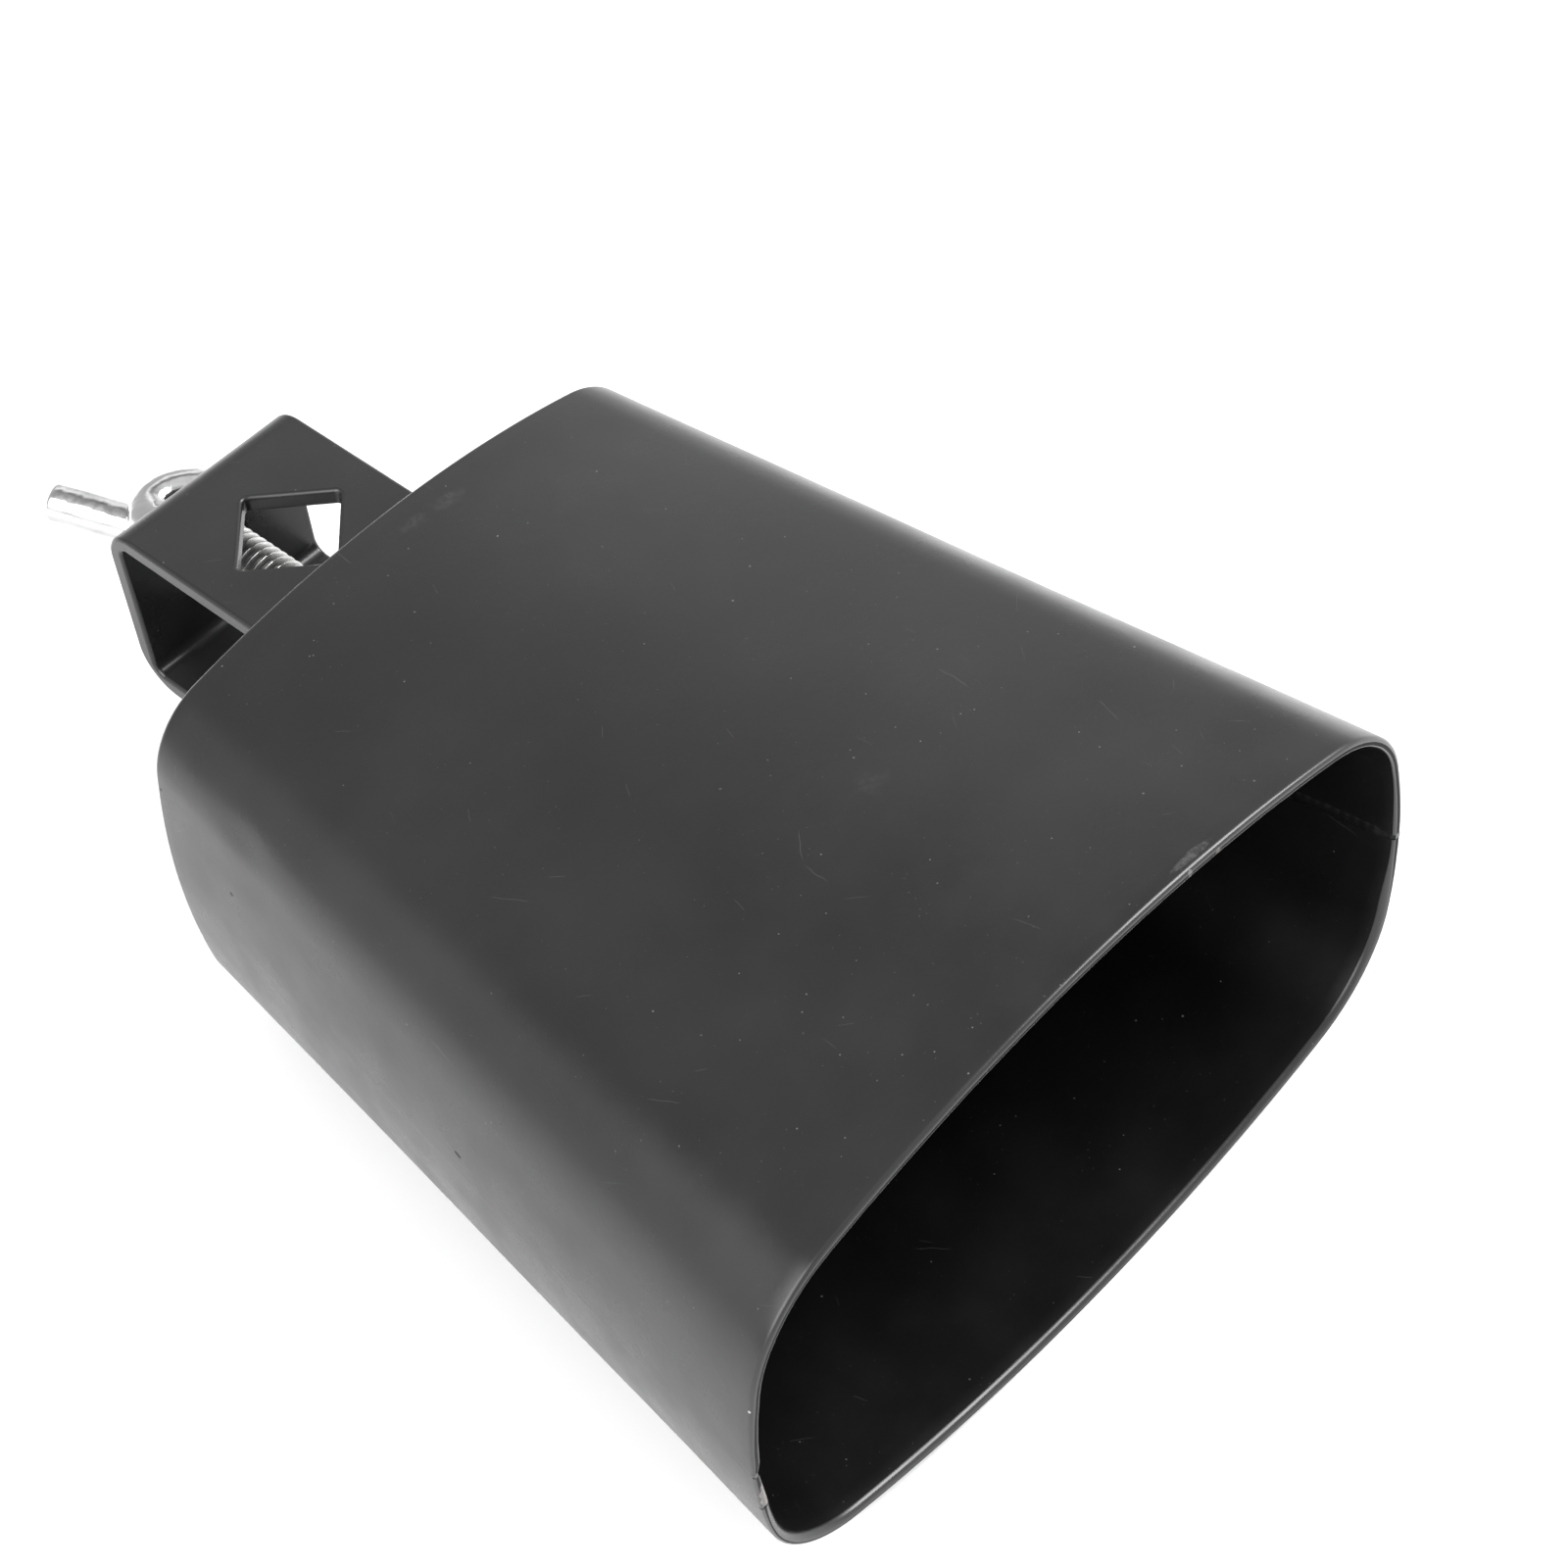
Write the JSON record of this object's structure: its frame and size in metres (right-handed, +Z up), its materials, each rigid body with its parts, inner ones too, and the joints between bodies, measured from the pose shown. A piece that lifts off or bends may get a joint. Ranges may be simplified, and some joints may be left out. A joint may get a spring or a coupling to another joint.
{
  "type": "cowbell",
  "caption": "Mountable cowbell: tapered welded sheet-steel bell with a wide oval mouth, a U-shaped bracket with square rod holes on its heel, and a clamp screw with a bent-rod handle.",
  "frame": {"origin": "bottom centre of the whole part's box, on the surface that the bell lies on", "axes": "the bell lies on its broad side: +Y runs from the mouth to the bracket along the bell's length, +X across the mouth's width, +Z up through the bell's depth"},
  "size_m": [0.13, 0.2066, 0.0744],
  "materials": {
    "black_paint": "satin black paint, slightly dusty, with a few scuffs and worn rim edges",
    "painted_weld": "satin black paint over a weld bead",
    "bracket_paint": "satin black paint on flat strip",
    "plated_thread": "bright plated rolled thread, a little dull in the roots",
    "plated_steel": "bright plated steel rod"
  },
  "bodies": {
    "bell": {"upper_shell": "black_paint", "lower_shell": "black_paint", "left_seam_weld": "painted_weld", "right_seam_weld": "painted_weld", "heel_seam_weld": "painted_weld", "mounting_bracket": "bracket_paint", "upper_bracket_weld": "painted_weld", "lower_bracket_weld": "painted_weld"},
    "screw_shank": {"clamp_screw_shank": "plated_thread"},
    "screw_handle": {"clamp_screw_handle": "plated_steel"}
  },
  "joints": [
    {"name": "screw_travel", "type": "slide", "parent": "bell", "child": "screw_shank", "axis": [0, -1, 0], "range_m": [-0.0141, 0.0021]},
    {"name": "screw_turn", "type": "hinge", "parent": "screw_shank", "child": "screw_handle", "pos_m": [0, 0.0719, 0.0362], "axis": [0, -1, 0], "range_deg": [-3174, 453]}
  ],
  "couplings": [
    {"joint": "screw_travel", "follows": "screw_turn", "m_per_rad": 0.00025266}
  ]
}
